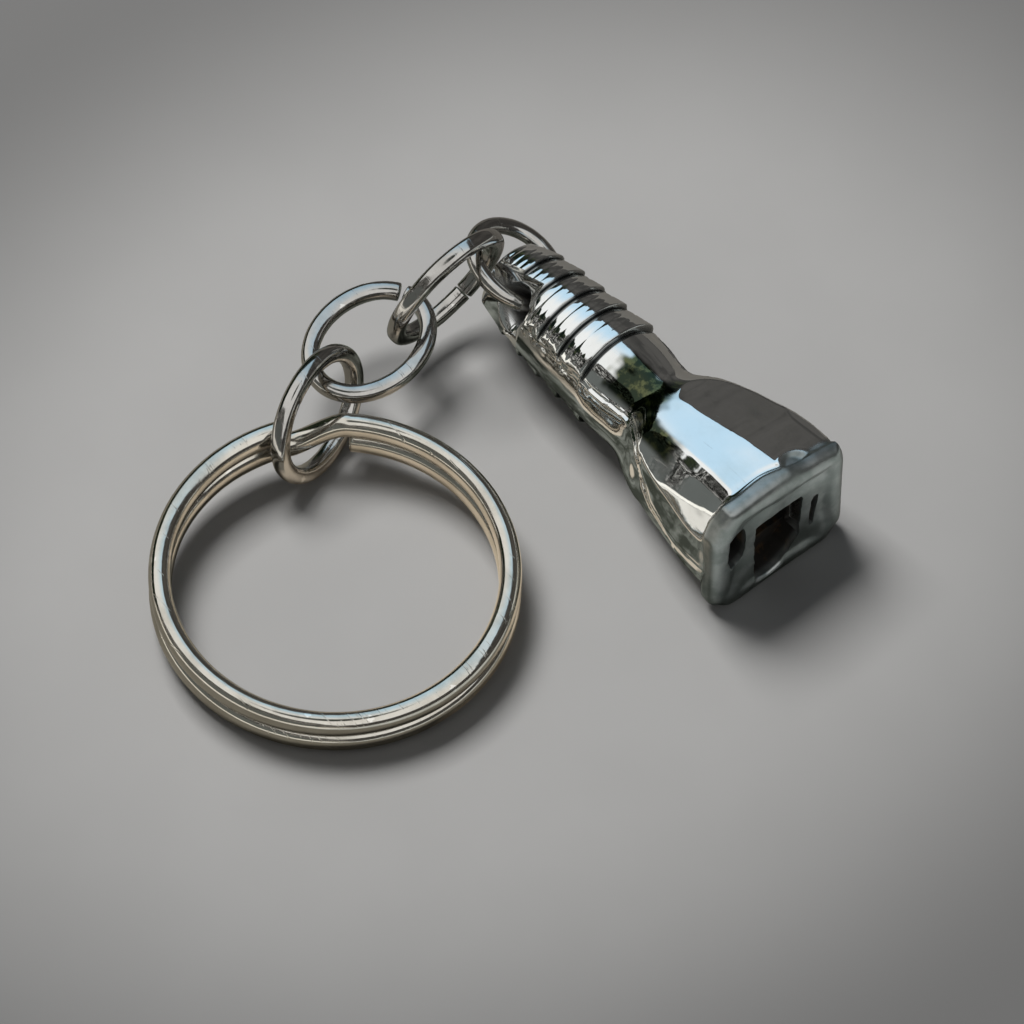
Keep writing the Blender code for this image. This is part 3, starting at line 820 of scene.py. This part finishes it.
def floor_material():
    mat, net, bsdf, co = new_material("pale_floor")
    colour = net.mottle(co, scale=60.0, detail=3.0, rough=0.5, lo=0.3, hi=0.7,
                        a=(0.395, 0.393, 0.392), b=(0.410, 0.408, 0.407))
    # painted shade: the floor falls off gently towards the corners of the view
    turn = net.add("ShaderNodeMapping")
    net.link(co, turn.inputs["Vector"])
    turn.inputs["Rotation"].default_value = (0.0, 0.0, -CAMERA_AZIMUTH)
    turn.inputs["Scale"].default_value = (1.0, 0.814, 1.0)
    length = net.add("ShaderNodeVectorMath", operation="LENGTH")
    net.link(turn.outputs["Vector"], length.inputs[0])
    far = net.band(length.outputs["Value"], lo=0.030, hi=0.066)
    colour = net.mix(net.times(far, 1.0), colour, (0.185, 0.185, 0.185))
    seen = floor_reflection(net, co)
    # glossy rays see the painted reflections instead of the floor's own colour
    glossy_ray = net.add("ShaderNodeLightPath").outputs["Is Glossy Ray"]
    colour = net.mix(glossy_ray, colour, seen)
    net.fill(bsdf, ("Base Color", "Roughness", "Specular IOR Level"), (colour, 0.85, 0.15))
    return mat


# ---- light and camera --------------------------------------------------------
def world_light():
    """Studio seen in the plating; diffuse surfaces get only a faint plain light."""
    world = bpy.data.worlds.new("studio")
    bpy.context.scene.world = world
    world.use_nodes = True
    world.node_tree.nodes.clear()
    net = Net(world.node_tree)
    out = net.add("ShaderNodeOutputWorld")
    co = net.add("ShaderNodeTexCoord").outputs["Generated"]

    def along(direction):
        node = net.add("ShaderNodeVectorMath", operation="DOT_PRODUCT")
        net.link(co, node.inputs[0])
        node.inputs[1].default_value = Vector(direction).normalized()
        return node.outputs["Value"]

    grain = net.noise(co, scale=6.0, detail=5.0, rough=0.65)
    ragged = net.times(net.math("SUBTRACT", grain, 0.5), 0.55)

    def frayed(value, amount):
        return net.plus(value, net.times(ragged, amount))

    up = along((0.0, 0.0, 1.0))
    across = along((0.0, -1.0, 0.0))
    # pale sheet overhead, cut off low down, near the zenith and towards +Y and -Y
    low = net.band(frayed(up, 0.10), lo=0.485, hi=0.505)
    high = net.band(frayed(up, 0.03), lo=0.992, hi=0.975)
    plus_y = net.band(frayed(across, 0.03), lo=-0.520, hi=-0.500)
    minus_y = net.band(frayed(across, 0.25), lo=0.545, hi=0.515)
    sheet = net.times(net.times(low, high), net.times(plus_y, minus_y))
    # the sheet turns blue towards +Y
    blue = net.band(along((-0.30, 0.95, 0.0)), lo=0.10, hi=0.62)
    sky = net.mix(blue, (1.0, 0.995, 0.97), (0.60, 0.83, 1.0))
    # dark greenish screen past the tail, grey boards elsewhere
    dark = net.mottle(co, scale=9.0, detail=5.0, rough=0.7, lo=0.46, hi=0.66,
                      a=(0.005, 0.010, 0.008), b=(0.060, 0.072, 0.036))
    grey = net.mottle(co, scale=3.0, detail=3.0, rough=0.6, lo=0.35, hi=0.65,
                      a=(0.057, 0.055, 0.052), b=(0.106, 0.101, 0.094))
    streak = net.mottle(co, scale=26.0, rough=0.7, lo=0.50, hi=0.60,
                        a=(0.016, 0.016, 0.014), b=(0.62, 0.60, 0.56))
    over = net.mottle(co, scale=5.0, rough=0.6, lo=0.45, hi=0.62,
                      a=(0.030, 0.036, 0.028), b=(0.16, 0.17, 0.165))
    base = net.mix(net.band(along((-0.95, -0.30, 0.0)), lo=0.50, hi=0.68), grey, dark)
    # towards -Y: streaks, then flat grey, with a bright strip low down
    base = net.mix(net.band(across, lo=0.50, hi=0.56), base, streak)
    base = net.mix(net.band(across, lo=0.70, hi=0.76), base, (0.155, 0.165, 0.155))
    horizon = net.times(net.band(across, lo=0.52, hi=0.60),
                        net.band(frayed(up, 0.10), lo=0.135, hi=0.095))
    base = net.mix(horizon, base, (1.30, 1.25, 1.13))
    base = net.mix(net.band(up, lo=0.86, hi=0.92), base, over)
    colour = net.mix(sheet, base, sky)
    power = net.mix_value(sheet, 1.0, 1.10)
    studio = net.add("ShaderNodeBackground")
    net.fill(studio, ("Color", "Strength"), (colour, power))
    plain = net.add("ShaderNodeBackground")
    net.fill(plain, ("Color", "Strength"), ((0.93, 0.96, 1.0), 0.05))
    path = net.add("ShaderNodeLightPath")
    mix = net.add("ShaderNodeMixShader")
    net.fill(mix, (0, 1, 2), (path.outputs["Is Diffuse Ray"], studio.outputs[0], plain.outputs[0]))
    net.link(mix.outputs[0], out.inputs["Surface"])


def area(name, at, look, size, power, colour):
    """A square area light, hidden from the camera and from reflections."""
    light = bpy.data.lights.new(name, "AREA")
    light.shape = "RECTANGLE"
    light.size = light.size_y = size
    light.energy = power
    light.color = colour
    obj = bpy.data.objects.new(name, light)
    bpy.context.scene.collection.objects.link(obj)
    obj.location = at
    obj.rotation_euler = (Vector(look) - Vector(at)).to_track_quat("-Z", "Y").to_euler()
    obj.visible_glossy = False
    obj.visible_camera = False


def camera():
    level = math.cos(CAMERA_ELEVATION)
    back = Vector((math.sin(CAMERA_AZIMUTH) * level, -math.cos(CAMERA_AZIMUTH) * level,
                   math.sin(CAMERA_ELEVATION)))
    cam = bpy.data.cameras.new("view")
    cam.lens = 283.7
    cam.sensor_width = 36.0
    cam.clip_start, cam.clip_end = 0.01, 20.0
    obj = bpy.data.objects.new("view", cam)
    bpy.context.scene.collection.objects.link(obj)
    obj.location = Vector(CAMERA_TARGET) + back * CAMERA_DISTANCE
    obj.rotation_euler = back.to_track_quat("Z", "Y").to_euler()
    bpy.context.scene.camera = obj


# ---- assembly ----------------------------------------------------------------
def hand_over(obj, part, node):
    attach(obj, part)
    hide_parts(node)


def main():
    chrome = plated("chrome_plate", base=(0.76, 0.775, 0.78), tint=(0.70, 0.715, 0.71),
                    rough=0.055, orange_peel=0.45, scratch=0.06, key=True)
    nickel = plated("nickel_plate", base=(0.47, 0.46, 0.445), tint=(0.37, 0.36, 0.345),
                    rough=0.12, orange_peel=0.50, scratch=0.35)
    nickel_ring = plated("nickel_ring", base=(0.61, 0.585, 0.535), tint=(0.49, 0.465, 0.415),
                         rough=0.12, orange_peel=0.40, scratch=0.40)

    hand_over(build_key(chrome), "key", "key_body")
    hand_over(build_eye_ring(nickel), "eye", "eye_ring")
    for i, (node, part, *shape) in enumerate(LINKS):
        link = build_link(node + "_wire", *shape, mat=nickel, seed=2 + i)
        hand_over(link, part, node)
    hand_over(build_split_ring(nickel_ring), "ring", "split_ring")

    corners = [(-900, -900, 0), (900, -900, 0), (900, 900, 0), (-900, 900, 0)]
    floor = finish_mesh("floor", corners, [(0, 1, 2, 3)], floor_material())
    floor.location = (*FLOOR_AT, TABLE_Z * MM)

    world_light()
    area("key_light", at=(-0.365, 0.0, 0.59), look=(-0.005, -0.010, 0.0), size=0.32,
         power=5.10, colour=(1.0, 0.99, 0.97))
    area("fill_light", at=(-0.10, -0.45, 0.50), look=(-0.005, -0.01, 0.0), size=0.6,
         power=0.12, colour=(0.97, 0.98, 1.0))
    camera()
    bpy.context.scene.view_settings.view_transform = "Standard"


main()
